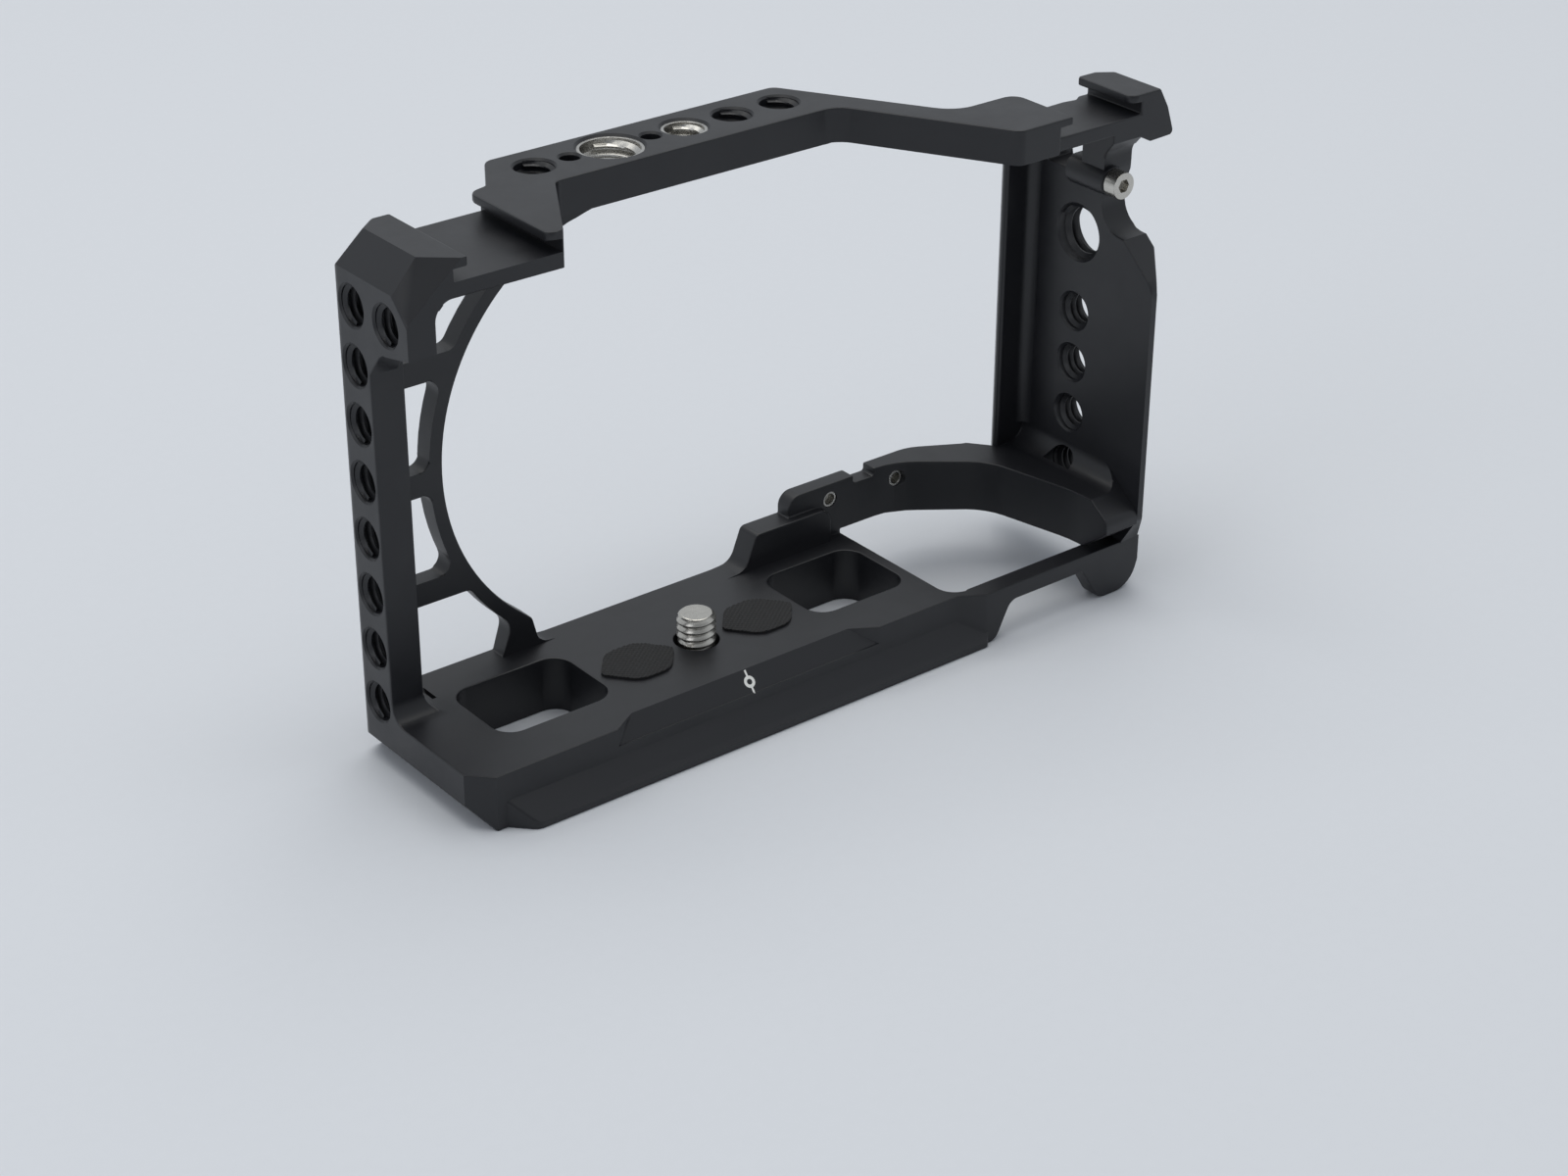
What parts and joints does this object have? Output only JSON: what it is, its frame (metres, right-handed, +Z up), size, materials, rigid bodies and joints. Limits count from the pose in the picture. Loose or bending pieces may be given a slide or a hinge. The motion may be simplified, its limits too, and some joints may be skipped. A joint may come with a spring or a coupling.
{
  "type": "camera cage",
  "caption": "Machined open frame that clamps round a compact mirrorless camera, with threaded accessory holes, cold shoes, a dovetail base and a captive camera screw.",
  "frame": {"origin": "axis of the camera screw at the underside of the base plate", "axes": "+X from the left post to the grip side, +Y to the lens side, +Z up"},
  "size_m": [0.141, 0.0484, 0.0869],
  "materials": {
    "anodised": "black fine-blasted and hard-anodised aluminium, satin",
    "screw_steel": "turned stainless steel",
    "small_screw_steel": "machined stainless steel",
    "spring_steel": "oil-blackened spring steel",
    "bright_thread": "bright steel thread",
    "nylon": "natural nylon",
    "rubber": "moulded rubber with a fine woven texture",
    "mark_paint": "white paint fill"
  },
  "bodies": {
    "frame": {"base_plate": "anodised", "front_stop": "anodised", "grip_loop": "anodised", "rear_rail": "anodised", "left_post": "anodised", "lens_arch": "anodised", "left_cold_shoe": "anodised", "top_bridge": "anodised", "bridge_leg": "anodised", "right_cold_shoe": "anodised", "right_side_plate": "anodised", "right_shoulder": "anodised", "strap_eyelet": "anodised", "snap_ring": "spring_steel", "rubber_pad_left": "rubber", "rubber_pad_right": "rubber", "centre_mark": "mark_paint", "big_thread_insert": "bright_thread", "quarter_thread_insert": "bright_thread", "loop_inserts": "bright_thread"},
    "washer": {"screw_washer": "nylon"},
    "screw": {"camera_screw": "screw_steel"},
    "eyelet_fastener": {"eyelet_screw": "small_screw_steel"}
  },
  "joints": [
    {"name": "screw_travel", "type": "slide", "parent": "frame", "child": "washer", "axis": [0, 0, 1], "range_m": [-0.001, 0]},
    {"name": "screw_turn", "type": "hinge", "parent": "washer", "child": "screw", "pos_m": [0, 0, 0.008], "axis": [0, 0, 1], "continuous": true},
    {"name": "eyelet_screw_turn", "type": "hinge", "parent": "frame", "child": "eyelet_fastener", "pos_m": [0.0768, -0.0112, 0.0727], "axis": [0, -1, 0], "continuous": true}
  ]
}
